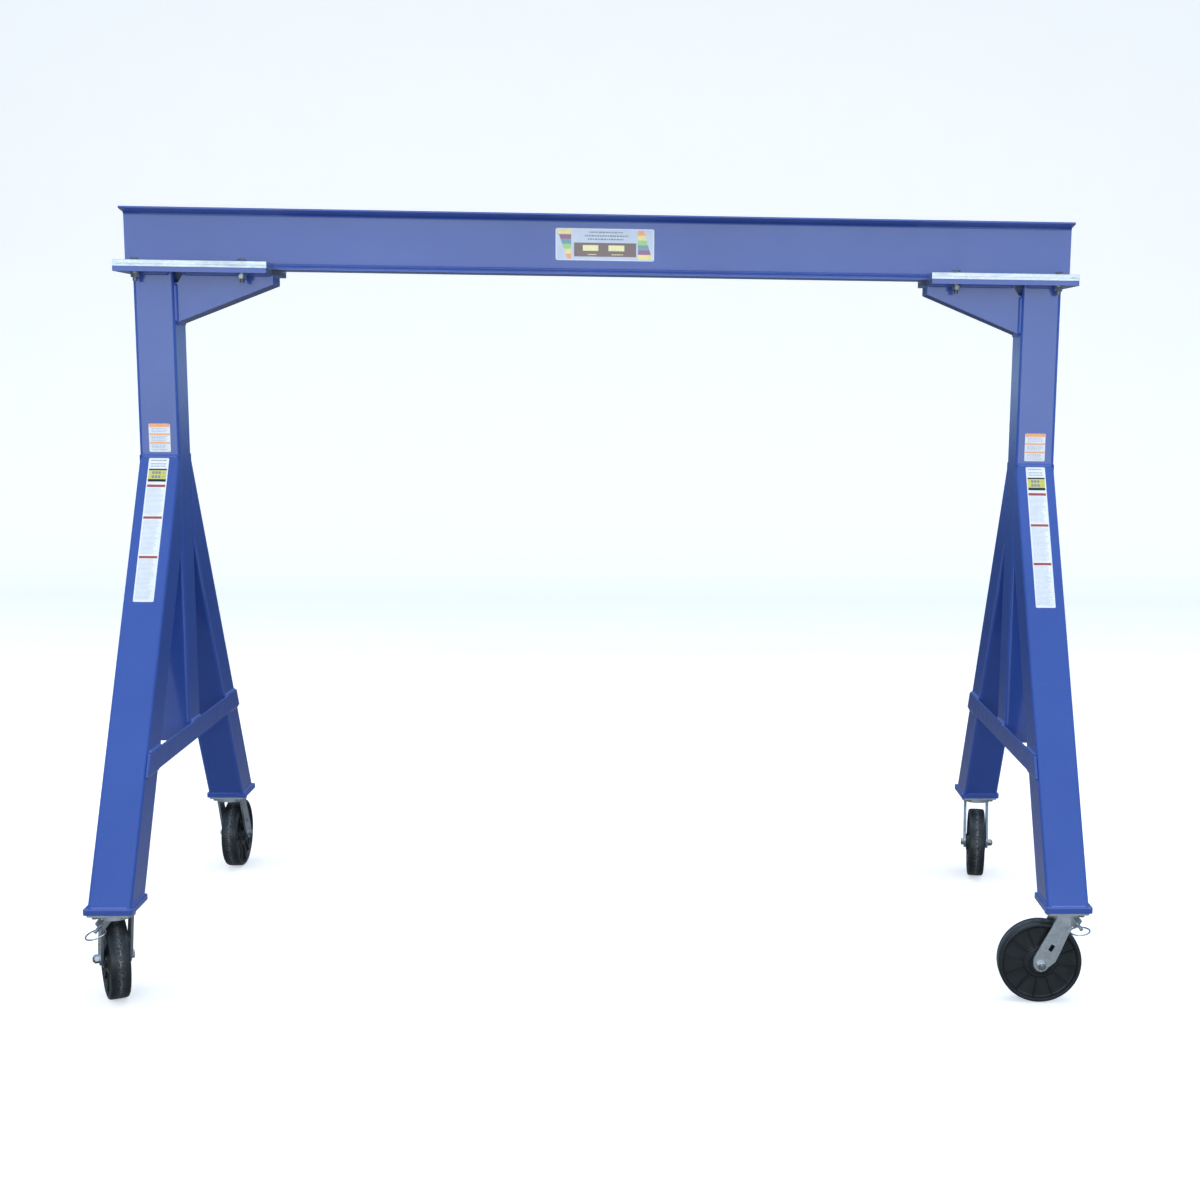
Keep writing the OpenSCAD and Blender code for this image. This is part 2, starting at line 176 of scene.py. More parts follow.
def blue_paint(name, base=(0.027, 0.075, 0.338), deep=(0.023, 0.067, 0.312), tint=(0.032, 0.084, 0.362)):
    m, nt, p = mat_new(name)
    v = coords(nt)
    big = noise_tex(nt, v, 2.3, 3, 0.5)
    mid = noise_tex(nt, coords(nt, loc=(3, 1, 7)), 26, 5, 0.6)
    col = ramp(nt, big, [(0.3, deep), (0.5, base), (0.72, tint)])
    col = mix(nt, math_node(nt, "MULTIPLY", ramp(nt, mid, [(0.62, grey(0)), (0.8, grey(1))]), 0.35), col, (0.042, 0.092, 0.37))
    # thin rub marks along the length
    rub = noise_tex(nt, coords(nt, scale=(5, 60, 5)), 6, 6, 0.7)
    col = mix(nt, math_node(nt, "MULTIPLY", ramp(nt, rub, [(0.68, grey(0)), (0.74, grey(1))]), 0.22), col, (0.06, 0.11, 0.36))
    # worn arrises: the paint thins and lightens on the very edge
    wear = noise_tex(nt, coords(nt, loc=(9, 4, 2)), 90, 5, 0.75)
    worn = math_node(nt, "MULTIPLY", edge_attr(nt), ramp(nt, wear, [(0.42, grey(0.25)), (0.62, grey(1))]))
    chip = math_node(nt, "MULTIPLY", edge_attr(nt), ramp(nt, wear, [(0.70, grey(0)), (0.73, grey(1))]))
    col = mix(nt, math_node(nt, "MULTIPLY", worn, 0.55), col, (0.085, 0.15, 0.47))
    col = mix(nt, chip, col, (0.20, 0.21, 0.23))
    # a little pale dust on what faces up
    dust = math_node(nt, "MULTIPLY", up_mask(nt), ramp(nt, noise_tex(nt, coords(nt, loc=(5, 5, 1)), 14, 6, 0.7), [(0.35, grey(0.0)), (0.8, grey(0.30))]))
    col = mix(nt, dust, col, (0.30, 0.33, 0.40))
    nt.links.new(col, p.inputs["Base Color"])
    ro = ramp(nt, noise_tex(nt, coords(nt, loc=(2, 8, 3)), 18, 5, 0.65), [(0.3, grey(0.30)), (0.7, grey(0.42))])
    nt.links.new(mix(nt, dust, ro, grey(0.7)), p.inputs["Roughness"])
    p.inputs["Specular IOR Level"].default_value = 0.5
    p.inputs["Coat Weight"].default_value = 1.0
    p.inputs["Coat IOR"].default_value = 1.58
    p.inputs["Coat Roughness"].default_value = 0.07
    peel = noise_tex(nt, coords(nt, loc=(1, 1, 4)), 330, 2, 0.5)
    wav = noise_tex(nt, coords(nt, loc=(4, 2, 6)), 17, 2, 0.4)
    b1 = bump(nt, p, peel, 0.10, 0.0006)
    bump(nt, p, wav, 0.10, 0.004, b1)
    nt.links.new(b1, p.inputs["Coat Normal"])
    return m


def zinc(name, c=(0.70, 0.73, 0.76), dark=(0.46, 0.49, 0.52), r0=0.20, r1=0.42, stretch=(1, 1, 1), scale=26, mottle=0.8, rim=(0.86, 0.88, 0.90)):
    m, nt, p = mat_new(name)
    p.inputs["Metallic"].default_value = 1.0
    # stretch squeezes the noise into streaks; on the bright bar these streaks are painted reflections
    v = coords(nt, scale=stretch)
    n1 = noise_tex(nt, v, scale, 6, 0.65, 0.4)
    n2 = noise_tex(nt, coords(nt, scale=stretch, loc=(4, 9, 2)), scale * 7, 4, 0.6)
    vor = node(nt, "ShaderNodeTexVoronoi")
    vor.inputs["Scale"].default_value = 170
    nt.links.new(coords(nt), vor.inputs["Vector"])
    sp = ramp(nt, vor.outputs["Color"], [(0.2, grey(0.86)), (0.8, grey(1.0))])
    col = ramp(nt, n1, [(0.30, dark), (0.52, c), (0.75, tuple(min(1, x * 1.12) for x in c))])
    col = mix(nt, mottle, col, sp, "MULTIPLY")
    # darker patches: grime, and on the stretched bright bar also painted streaky reflections
    grime_and_painted_streaks = ramp(nt, n2, [(0.62, grey(0)), (0.82, grey(1))])
    col = mix(nt, math_node(nt, "MULTIPLY", grime_and_painted_streaks, 0.5), col, (0.22, 0.23, 0.24))
    # edge colour on the bevels: a pale rim on most zinc; the dark rim given for the bright bar is painted shade along
    # its edges and the bar/spacer seam
    bright = math_node(nt, "MULTIPLY", edge_attr(nt), 0.6 if rim[0] > 0.5 else 0.85)
    col = mix(nt, bright, col, rim)
    nt.links.new(col, p.inputs["Base Color"])
    ro = ramp(nt, n2, [(0.25, grey(r0)), (0.75, grey(r1))])
    nt.links.new(ro, p.inputs["Roughness"])
    b1 = bump(nt, p, n2, 0.16, 0.0004)
    bump(nt, p, noise_tex(nt, coords(nt, loc=(2, 2, 2)), 35, 3, 0.5), 0.06, 0.003, b1)
    return m


def moulded_black(name):
    m, nt, p = mat_new(name)
    v = coords(nt)
    n1 = noise_tex(nt, v, 30, 5, 0.6)
    col = ramp(nt, n1, [(0.3, (0.0125, 0.0150, 0.0165)), (0.7, (0.022, 0.027, 0.029))])
    # scuffed, dusty band round the middle of the tread
    a = node(nt, "ShaderNodeAttribute", attribute_name="scuff")
    sp = noise_tex(nt, coords(nt, loc=(7, 7, 7)), 210, 6, 0.8)
    fac = math_node(nt, "MULTIPLY", a.outputs["Fac"], ramp(nt, sp, [(0.47, grey(0.03)), (0.58, grey(1))]))
    col = mix(nt, math_node(nt, "MULTIPLY", fac, 0.9), col, (0.26, 0.265, 0.27))
    # rib vertices are darkened: painted shade along the ribs
    rb = node(nt, "ShaderNodeAttribute", attribute_name="rib")
    col = mix(nt, math_node(nt, "MULTIPLY", rb.outputs["Fac"], 0.5), col, (0.004, 0.0045, 0.005))
    worn = math_node(nt, "MULTIPLY", edge_attr(nt), ramp(nt, noise_tex(nt, coords(nt, loc=(1, 5, 1)), 80, 5, 0.7), [(0.4, grey(0)), (0.7, grey(1))]))
    col = mix(nt, math_node(nt, "MULTIPLY", worn, 0.5), col, (0.07, 0.075, 0.08))
    nt.links.new(col, p.inputs["Base Color"])
    ro = ramp(nt, noise_tex(nt, coords(nt, loc=(3, 3, 8)), 60, 5, 0.65), [(0.3, grey(0.27)), (0.75, grey(0.42))])
    nt.links.new(mix(nt, fac, ro, grey(0.8)), p.inputs["Roughness"])
    p.inputs["Specular IOR Level"].default_value = 0.5
    b1 = bump(nt, p, noise_tex(nt, coords(nt, loc=(6, 1, 1)), 700, 3, 0.6), 0.22, 0.0004)
    bump(nt, p, noise_tex(nt, coords(nt, loc=(1, 6, 2)), 40, 3, 0.5), 0.12, 0.0025, b1)
    return m


def vinyl(name, c, vary=0.05, rough=0.38):
    m, nt, p = mat_new(name)
    n1 = noise_tex(nt, coords(nt), 60, 5, 0.65)
    lo = tuple(x * (1 - vary) for x in c)
    hi = tuple(min(1.0, x * (1 + vary)) for x in c)
    col = ramp(nt, n1, [(0.3, lo), (0.7, hi)])
    sc = noise_tex(nt, coords(nt, scale=(1, 1, 8), loc=(2, 4, 4)), 120, 5, 0.8)
    col = mix(nt, math_node(nt, "MULTIPLY", ramp(nt, sc, [(0.66, grey(0)), (0.72, grey(1))]), 0.12), col, (0.5, 0.5, 0.5))
    nt.links.new(col, p.inputs["Base Color"])
    nt.links.new(ramp(nt, n1, [(0.3, grey(rough - 0.06)), (0.7, grey(rough + 0.08))]), p.inputs["Roughness"])
    p.inputs["Specular IOR Level"].default_value = 0.5
    bump(nt, p, noise_tex(nt, coords(nt, loc=(1, 3, 3)), 240, 2, 0.5), 0.08, 0.0005)
    return m


M_BLUE = blue_paint("blue_powder_coat")
# weld beads get a brighter copy of the blue paint: a painted highlight on the beads
M_WELD_HIGHLIT = blue_paint("blue_powder_coat_weld_painted_highlight", base=(0.034, 0.084, 0.375), deep=(0.029, 0.074, 0.345), tint=(0.042, 0.097, 0.41))
# bright bar: its stretched tone and grime streaks are painted reflections; its dark rim is painted shade along the
# bevels and the bar/spacer seam
M_BAR = zinc("zinc_bright_bar", c=(0.76, 0.80, 0.82), dark=(0.52, 0.55, 0.57), r0=0.24, r1=0.38, stretch=(1, 6, 6), scale=9, mottle=0.5, rim=(0.10, 0.10, 0.11))
M_STAMP = zinc("zinc_stamping", c=(0.86, 0.91, 0.94), dark=(0.66, 0.71, 0.75), r0=0.30, r1=0.44)
M_NUT = zinc("zinc_fastener", c=(0.60, 0.61, 0.60), dark=(0.34, 0.35, 0.34), r0=0.22, r1=0.38, scale=60)
M_RAW = zinc("plate_end_bare", c=(0.33, 0.36, 0.40), dark=(0.20, 0.22, 0.25), r0=0.45, r1=0.6, scale=40)
M_WIRE = zinc("wire_bright", c=(0.78, 0.80, 0.82), dark=(0.55, 0.57, 0.60), r0=0.14, r1=0.28, scale=90)
M_BLACK = moulded_black("wheel_moulded_black")
V_WHITE = vinyl("vinyl_white", (0.80, 0.82, 0.84))
V_PALE = vinyl("vinyl_pale", (0.64, 0.69, 0.78))
V_YEL = vinyl("ink_yellow", (0.93, 0.78, 0.32))
V_YEL2 = vinyl("ink_cream", (0.97, 0.88, 0.46))
V_ORA = vinyl("ink_orange", (0.93, 0.42, 0.20))
V_BRN = vinyl("ink_brown", (0.245, 0.180, 0.165))
V_PUR = vinyl("ink_purple", (0.36, 0.18, 0.29))
V_GRN = vinyl("ink_green", (0.42, 0.68, 0.26))
V_TEA = vinyl("ink_teal", (0.21, 0.40, 0.43))
V_RED = vinyl("ink_red", (0.38, 0.075, 0.065))
V_BLK = vinyl("ink_black", (0.018, 0.020, 0.024))
V_GRY = vinyl("ink_grey", (0.24, 0.26, 0.31))
V_LGR = vinyl("ink_light_grey", (0.40, 0.45, 0.55))
V_LBL = vinyl("ink_yellow_green", (0.62, 0.60, 0.13))


# ---------------------------------------------------------------- mesh helpers
def finish_mesh(name, bm, mats, body, replaces=(), angle=32, weighted=True, edge_faces=None):
    me = bpy.data.meshes.new(name)
    bm.normal_update()
    lay = bm.loops.layers.float.get("edge") or bm.loops.layers.float.new("edge")
    if edge_faces is not None:
        for f in edge_faces:
            if f.is_valid:
                for l in f.loops:
                    l[lay] = 1.0
    bm.to_mesh(me)
    bm.free()
    me.polygons.foreach_set("use_smooth", [True] * len(me.polygons))
    me.set_sharp_from_angle(angle=math.radians(angle))
    for m in mats:
        me.materials.append(m)
    o = bpy.data.objects.new(name, me)
    bpy.context.scene.collection.objects.link(o)
    if weighted:
        w = o.modifiers.new("wn", "WEIGHTED_NORMAL")
        w.keep_sharp = True
        w.weight = 60
    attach(o, body)
    if replaces:
        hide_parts(*replaces)
    return o


def refined(nodename, body, mats, width=0.001, segs=2, limit=28, name=None, pick=None, mat_by=None, angle=40):
    """The CAD node's mesh cleaned up, with every hard edge rounded."""
    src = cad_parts[nodename]
    bm = bmesh.new()
    bm.from_mesh(src.data)
    bmesh.ops.remove_doubles(bm, verts=bm.verts, dist=2e-5)
    bmesh.ops.dissolve_limit(bm, angle_limit=math.radians(0.4), use_dissolve_boundaries=False, verts=bm.verts, edges=bm.edges)
    bmesh.ops.dissolve_degenerate(bm, edges=bm.edges, dist=1e-5)
    ef = None
    if width > 0:
        lim = math.radians(limit)
        es = [e for e in bm.edges if len(e.link_faces) == 2 and e.calc_face_angle(0) > lim and (pick is None or pick(e))]
        res = bmesh.ops.bevel(bm, geom=es, offset=width, offset_type="OFFSET", segments=segs, profile=0.5, affect="EDGES", clamp_overlap=True)
        ef = res["faces"]
    if mat_by is not None:
        for f in bm.faces:
            f.material_index = mat_by(f)
    return finish_mesh(name or nodename + "_finished", bm, mats, body, (nodename,), angle=angle, edge_faces=ef)


def frame_at(origin, ux, uz):
    """Matrix whose local X is ux, local Z is uz."""
    z = Vector(uz).normalized()
    x = Vector(ux)
    x = (x - z * x.dot(z)).normalized()
    y = z.cross(x)
    return Matrix(((x.x, y.x, z.x, origin[0]), (x.y, y.y, z.y, origin[1]), (x.z, y.z, z.z, origin[2]), (0, 0, 0, 1)))


def rings_solid(bm, rings, m=None, cap0=True, cap1=True, closed=True):
    """Skin over rings of equal length. Returns the faces made."""
    made = []
    vs = []
    for ring in rings:
        vs.append([bm.verts.new((m @ Vector(p)) if m else Vector(p)) for p in ring])
    n = len(vs[0])
    for a, b in zip(vs, vs[1:]):
        for i in range(n if closed else n - 1):
            j = (i + 1) % n
            try:
                made.append(bm.faces.new((a[i], a[j], b[j], b[i])))
            except ValueError:
                pass
    if cap0:
        made.append(bm.faces.new(list(reversed(vs[0]))))
    if cap1:
        made.append(bm.faces.new(vs[-1]))
    return made


def circle(r, z, n=40, off=0.0):
    return [(r * math.cos(2 * math.pi * i / n + off), r * math.sin(2 * math.pi * i / n + off), z) for i in range(n)]


def hex_solid(bm, m, af, h, bore=None, top=True, bottom=False, turn=0.0, washer=0.0):
    """Hexagon with the curved chamfers of a real nut or bolt head, from z=0 to z=h."""
    n = 72
    rh = []
    for i in range(n):
        t = 360 * i / n
        d = ((t + 30) % 60) - 30
        rh.append((af / 2) / math.cos(math.radians(d)))
    r0 = af / 2 * 0.965
    k = math.tan(math.radians(30))

    def ring(rs, zs):
        return [(rs[i] * math.cos(2 * math.pi * i / n + turn), rs[i] * math.sin(2 * math.pi * i / n + turn), zs[i]) for i in range(n)]

    low = [0.0] * n
    rings = []
    e = bore if bore else None
    if e:
        rings.append(ring([e] * n, [0.0005] * n))
        rings.append(ring([e + 0.0006] * n, low))
    if washer > 0:
        rings.append(ring([r0] * n, low))
        rings.append(ring([r0] * n, [washer] * n))
        rings.append(ring([r0 + 0.0001] * n, [washer + 0.0001] * n))
        rings.append(ring(rh, [washer + 0.0001 + (rh[i] - r0) * k * 0.6 for i in range(n)]))
    elif bottom:
        rings.append(ring([r0] * n, low))
        rings.append(ring(rh, [max(0.0, (rh[i] - r0) * k) for i in range(n)]))
    else:
        rings.append(ring([min(x, x - 0.0003) for x in rh], low))
        rings.append(ring(rh, [0.0003] * n))
    if top:
        rings.append(ring(rh, [h - (rh[i] - r0) * k for i in range(n)]))
        rings.append(ring([r0] * n, [h] * n))
    else:
        rings.append(ring(rh, [h - 0.0003] * n))
        rings.append(ring([x - 0.0003 for x in rh], [h] * n))
    if e:
        rings.append(ring([e + 0.0006] * n, [h] * n))
        rings.append(ring([e] * n, [h - 0.0005] * n))
        rings_solid(bm, rings + [rings[0]], m, cap0=False, cap1=False)
    else:
        # shallow dish on the head
        rings.append(ring([r0 * 0.82] * n, [h] * n))
        rings.append(ring([r0 * 0.76] * n, [h - 0.0003] * n))
        rings_solid(bm, rings, m)


def threaded(bm, m, r, z0, z1, pitch=0.00175, depth=0.0009, n=28, chamfer0=0.0, chamfer1=0.001):
    """Screw thread from z0 to z1 with a chamfered end."""
    steps = max(4, int((z1 - z0) / pitch * 7))
    rings = []
    for s in range(steps + 1):
        z = z0 + (z1 - z0) * s / steps
        ring = []
        for i in range(n):
            t = 2 * math.pi * i / n
            ph = (z / pitch - i / n) % 1.0
            tri = abs(ph - 0.5) * 2
            rr = r - depth * min(1.0, max(0.0, tri * 1.25 - 0.1))
            if chamfer1 and z > z1 - chamfer1:
                rr = min(rr, r - (z - (z1 - chamfer1)))
            if chamfer0 and z < z0 + chamfer0:
                rr = min(rr, r - (z0 + chamfer0 - z))
            ring.append((rr * math.cos(t), rr * math.sin(t), z))
        rings.append(ring)
    rings_solid(bm, rings, m)


def lathe(bm, m, profile, n=48):
    """Closed turned solid from (radius, z) points; both ends on or capped at the axis."""
    rings = [circle(r, z, n) for r, z in profile]
    return rings_solid(bm, rings, m)


def lathe_ring(bm, m, profile, n=48):
    """Turned solid with a hole: the profile is a closed loop of (radius, z)."""
    rings = [circle(r, z, n) for r, z in profile]
    return rings_solid(bm, rings + [rings[0]], m, cap0=False, cap1=False)


def weld_doubles(bm, d=1e-6):
    bmesh.ops.remove_doubles(bm, verts=bm.verts, dist=d)
    bmesh.ops.recalc_face_normals(bm, faces=bm.faces)


def fillet(points, radii, steps=4):
    """Rounds the corners of an open 2-D polyline."""
    out = [Vector(points[0])]
    for i in range(1, len(points) - 1):
        a, b, c = Vector(points[i - 1]), Vector(points[i]), Vector(points[i + 1])
        u, v = (a - b), (c - b)
        lu, lv = u.length, v.length
        r = radii[i] if isinstance(radii, (list, tuple)) else radii
        if r <= 0 or lu < 1e-9 or lv < 1e-9:
            out.append(b)
            continue
        u.normalize(); v.normalize()
        half = math.acos(max(-1, min(1, u.dot(v)))) / 2
        if half > math.radians(88) or half < 0.02:
            out.append(b)
            continue
        d = min(r / math.tan(half), lu * 0.45, lv * 0.45)
        p, q = b + u * d, b + v * d
        for k in range(steps + 1):
            t = k / steps
            out.append((1 - t) ** 2 * p + 2 * t * (1 - t) * b + t * t * q)
    out.append(Vector(points[-1]))
    return [(p.x, p.y) for p in out]


# ---------------------------------------------------------------- weld beads
def bead(bm, p0, p1, a, b, leg=0.006, pitch=0.0048, seed=0, bulge=0.35, round_ends=True):
    """Fillet weld along p0-p1 between surfaces whose directions away from the corner are a and b."""
    rnd = random.Random(seed)
    p0, p1, a, b = Vector(p0), Vector(p1), Vector(a).normalized(), Vector(b).normalized()
    length = (p1 - p0).length
    t = (p1 - p0).normalized()
    n = max(8, int(length / pitch * 4))
    out = (a + b)
    out = out.normalized() if out.length > 0.15 else a.cross(t).normalized()
    into = -out
    rings = []
    wob = rnd.random() * 6
    k = 7
    for i in range(n + 1):
        s = length * i / n
        ph = (s / pitch) % 1.0
        rip = 0.90 + 0.13 * (1 - (2 * ph - 1) ** 2) ** 0.5
        rip *= 1 + 0.07 * noise.noise(Vector((s * 40 + wob, wob, seed)))
        e = 1.0
        if round_ends:
            d = min(s, length - s) / (leg * 0.9)
            e = math.sqrt(max(0.0, 1 - (1 - min(1, d)) ** 2)) * 0.85 + 0.15
        L = leg * rip * e
        c = p0 + t * s - t * (0.25 * leg * (1 - abs(2 * ph - 1)) * 0.0)
        ring = [c + into * 0.0008]
        pa, pb = c + a * L, c + b * L
        for j in range(k + 1):
            u = j / k
            q = pa.lerp(pb, u) + out * (bulge * L * math.sin(math.pi * u))
            # shift each ripple's crown along the bead, so the ripples read as crescents
            q += t * (pitch * 0.35 * math.sin(math.pi * u))
            ring.append(q)
        rings.append(ring)
    rings_solid(bm, rings)


def trestle_welds(s, body):
    """Weld beads of one trestle. s is +1 on the right."""
    side = "right" if s > 0 else "left"

    def X(x):
        return s * x

    def add(name, items):
        bm = bmesh.new()
        for i, it in enumerate(items):
            p0, p1, a, b = it[:4]
            kw = it[4] if len(it) > 4 else {}
            f = lambda v: (v[0] * s, v[1], v[2])
            bead(bm, f(p0), f(p1), f(a), f(b), seed=i + 17 * (s > 0), **kw)
        bmesh.ops.recalc_face_normals(bm, faces=bm.faces)
        # the beads take the brightened blue paint, a painted highlight
        finish_mesh(f"{side}_weld_{name}", bm, [M_WELD_HIGHLIT], body, angle=60, weighted=False)

    r = 0.009
    cx0, cx1 = HS - Q, HS + Q
    # column under the head plate
    add("head", [
        ((cx0 + r, -Q, HEAD), (cx1 - r, -Q, HEAD), (0, -1, 0), (0, 0, -1), dict(leg=0.005)),
        ((cx0 + r, Q, HEAD), (cx1 - r, Q, HEAD), (0, 1, 0), (0, 0, -1), dict(leg=0.005)),
        ((cx1, -Q + r, HEAD), (cx1, Q - r, HEAD), (1, 0, 0), (0, 0, -1), dict(leg=0.005)),
    ])
    g0 = HS - PLATE_IN + 0.001
    gy = GUS_W / 2
    add("gusset", [
        ((cx0, -gy, HEAD - 0.024), (cx0, -gy, HEAD - GUS_D + 0.003), (-1, 0, 0), (0, -1, 0), dict(leg=0.0072)),
        ((cx0, gy, HEAD - 0.024), (cx0, gy, HEAD - GUS_D + 0.003), (-1, 0, 0), (0, 1, 0), dict(leg=0.0072)),
        ((cx0, -gy + 0.004, HEAD - GUS_D + 0.0005), (cx0, gy - 0.004, HEAD - GUS_D + 0.0005), (-0.92, 0, 0.38), (0, 0, -1), dict(leg=0.006)),
        ((g0 + 0.004, -gy, HEAD), (cx0 - 0.024, -gy, HEAD), (0, -1, 0), (0, 0, -1), dict(leg=0.0045)),
        ((g0 + 0.004, gy, HEAD), (cx0 - 0.024, gy, HEAD), (0, 1, 0), (0, 0, -1), dict(leg=0.0045)),
        ((g0, -gy + 0.004, HEAD), (g0, gy - 0.004, HEAD), (-1, 0, 0), (0, 0, -1), dict(leg=0.0045)),
    ])
    items = []
    zin = JOIN - LEG_H / RUN
    for f in (-1, 1):
        down = (0, f * math.sin(LEAN), -math.cos(LEAN))
        items.append(((cx0 + 0.006, f * Q, JOIN - 0.001), (cx1 - 0.006, f * Q, JOIN - 0.001), (0, 0, 1), down, dict(leg=0.0058, bulge=0.26)))
        # the flare seams down both sides
        for x, nx in ((cx0, -1), (cx1, 1)):
            items.append(((x - nx * 0.0022, f * (Q - 0.0020), JOIN + 0.002), (x - nx * 0.0022, f * (Q - 0.0020), zin + 0.004),
                          (nx * 0.25, f * 0.75, 0), (nx * 0.55, -f * 1.0, 0), dict(leg=0.0042, bulge=0.24)))
        items.append(((cx0 + 0.010, f * Q, zin), (cx1 - 0.010, f * Q, zin), (0, 0, -1), (0, f * math.sin(LEAN) * 0.9, -math.cos(LEAN)), dict(leg=0.007, bulge=0.15)))
    add("legs", items)
    # cross brace lapped on the legs and the column
    xb = HS - Q
    items = []

    def leg_span(z):
        o = Q + (JOIN - z) * RUN
        return o - LEG_H, o

    for f in (-1, 1):
        a0, a1 = leg_span(BRACE_Z)
        items.append(((xb, f * (a0 + 0.012), BRACE_Z), (xb, f * (a1 - 0.012), BRACE_Z), (0, 0, 1), (-1, 0, 0.0), dict(leg=0.0062)))
        a0, a1 = leg_span(BRACE_Z - BRACE_H)
        items.append(((xb, f * (a0 + 0.012), BRACE_Z - BRACE_H), (xb, f * (a1 - 0.012), BRACE_Z - BRACE_H), (0, 0, -1), (-1, 0, 0), dict(leg=0.0056)))
    items.append(((xb, -Q + 0.012, BRACE_Z), (xb, Q - 0.012, BRACE_Z), (0, 0, 1), (-1, 0, 0), dict(leg=0.0062)))
    add("brace", items)
    # feet
    items = []
    for f in (-1, 1):
        o = LEG_OUT
        i = LEG_OUT - LEG_H
        up_o = (0, -f * math.sin(LEAN), math.cos(LEAN))
        items.append(((cx0 + r, f * o, FOOT), (cx1 - r, f * o, FOOT), (0, f, 0), up_o, dict(leg=0.0030)))
        items.append(((cx0 + r, f * i, FOOT), (cx1 - r, f * i, FOOT), (0, -f, 0), up_o, dict(leg=0.0050)))
        for x, nx in ((cx0, -1), (cx1, 1)):
            items.append(((x, f * (i + r), FOOT), (x, f * (o - r), FOOT), (nx, 0, 0), (0, 0, 1), dict(leg=0.0042)))
    add("feet", items)


# ---------------------------------------------------------------- steelwork
B = "beam"
refined("i_beam", B, [M_BLUE], 0.0009, 2, limit=50, angle=35)
for s, side in ((-1, "left"), (1, "right")):
    T = side + "_trestle"
    for n, w, lim in (("column", 0.0007, 60), ("leg_front", 0.0006, 60), ("leg_rear", 0.0006, 60), ("cross_brace", 0.0011, 40), ("gusset", 0.0012, 40), ("foot_plates", 0.0014, 50)):
        refined(f"{side}_{n}", T, [M_BLUE], w, 2, limit=lim, angle=35)
    end = s * (HS - PLATE_IN)
    refined(f"{side}_top_plate", T, [M_BLUE, M_RAW], 0.0009, 2, limit=50, angle=35,
            mat_by=lambda f: 1 if abs(f.calc_center_median().x - end) < 0.0004 and abs(f.normal.x) > 0.9 else 0)
    refined(f"{side}_clamp_bars", T, [M_BAR], 0.0014, 2, limit=14, angle=35)
    refined(f"{side}_clamp_spacers", T, [M_BAR], 0.0013, 2, limit=50, angle=35)
    refined(f"{side}_caster_plates", T, [M_STAMP], 0.0008, 2, limit=50, angle=35)
    trestle_welds(s, T)

    # clamp bolts and nuts
    bm = bmesh.new()
    bn = bmesh.new()
    rnd = random.Random(5 + s)
    ztop = BOT + SPACER + BAR
    for x in (HS + BOLT_OUT, HS - BOLT_IN):
        for y in (-BOLT_Y, BOLT_Y):
            m = Matrix.Translation((s * x, y, ztop))
            hex_solid(bm, m, 0.019, 0.008, turn=rnd.random(), washer=0.0006)
            z1 = HEAD - ztop - 0.022
            flip = Matrix.Translation((s * x, y, ztop)) @ Matrix.Rotation(math.pi, 4, "X")
            threaded(bm, flip, 0.00635, -0.0002, -z1, chamfer1=0.0013)
            mn = Matrix.Translation((s * x, y, HEAD - 0.013))
            hex_solid(bn, mn, 0.019, 0.0108, bore=0.0064, bottom=True, turn=rnd.random())
            # washer between nut and plate
            mw = Matrix.Translation((s * x, y, HEAD - 0.0022))
            lathe_ring(bn, mw, [(0.0067, 0), (0.0118, 0), (0.0120, 0.0003), (0.0120, 0.0019), (0.0118, 0.0022), (0.0067, 0.0022)], 48)
    weld_doubles(bm); weld_doubles(bn)
    finish_mesh(f"{side}_clamp_bolts_threaded", bm, [M_NUT], T, (f"{side}_clamp_bolts",), angle=38, weighted=False)
    finish_mesh(f"{side}_clamp_nuts_chamfered", bn, [M_NUT], T, (f"{side}_clamp_nuts",), angle=38, weighted=False)

    # caster bolts
    bm = bmesh.new()
    for fy in (-FOOT_Y, FOOT_Y):
        for dx in (-0.0333, 0.0333):
            for dy in (-0.046, 0.046):
                m = Matrix.Translation((s * HS + dx, fy + dy, CP)) @ Matrix.Rotation(math.pi, 4, "X")
                hex_solid(bm, m, 0.0143, 0.0062, turn=rnd.random(), washer=0.0005)
                m2 = Matrix.Translation((s * HS + dx, fy + dy, CP))
                threaded(bm, m2, 0.00476, -0.0003, CP_T + FOOT_T, pitch=0.0016, depth=0.0008, chamfer1=0.0008)
    weld_doubles(bm)
    finish_mesh(f"{side}_caster_bolts_threaded", bm, [M_NUT], T, (f"{side}_caster_bolts",), angle=38, weighted=False)

    # kingpins: rivet head above, shank, nut below
    bm = bmesh.new()
    for fy in (-FOOT_Y, FOOT_Y):
        low = CROWN - CROWN_T - 0.010
        m = Matrix.Translation((s * HS, fy, 0))
        lathe(bm, m, [(0.0066, low), (0.0080, low + 0.0014), (0.0080, CASTER_H - 0.0026), (0.0108, CASTER_H - 0.0025), (0.0110, CASTER_H - 0.0022), (0.0110, CASTER_H - 0.0006), (0.0104, CASTER_H)], 48)
        hex_solid(bm, Matrix.Translation((s * HS, fy, CROWN - CROWN_T - 0.0084)), 0.024, 0.008, bore=0.00805, bottom=True, turn=rnd.random())
    weld_doubles(bm)
    finish_mesh(f"{side}_kingpins_turned", bm, [M_NUT], T, (f"{side}_kingpins",), angle=38, weighted=False)
    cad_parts[f"{side}_swivel_balls"].data.materials.clear()
    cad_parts[f"{side}_swivel_balls"].data.materials.append(M_WIRE)


# ---------------------------------------------------------------- casters
def place(key):
    s = -1 if key.startswith("left") else 1
    f = -1 if key.endswith("front") else 1
    return Matrix.Translation((s * HS, f * FOOT_Y, 0)) @ Matrix.Rotation(math.radians(ANG[key]), 4, "Z")


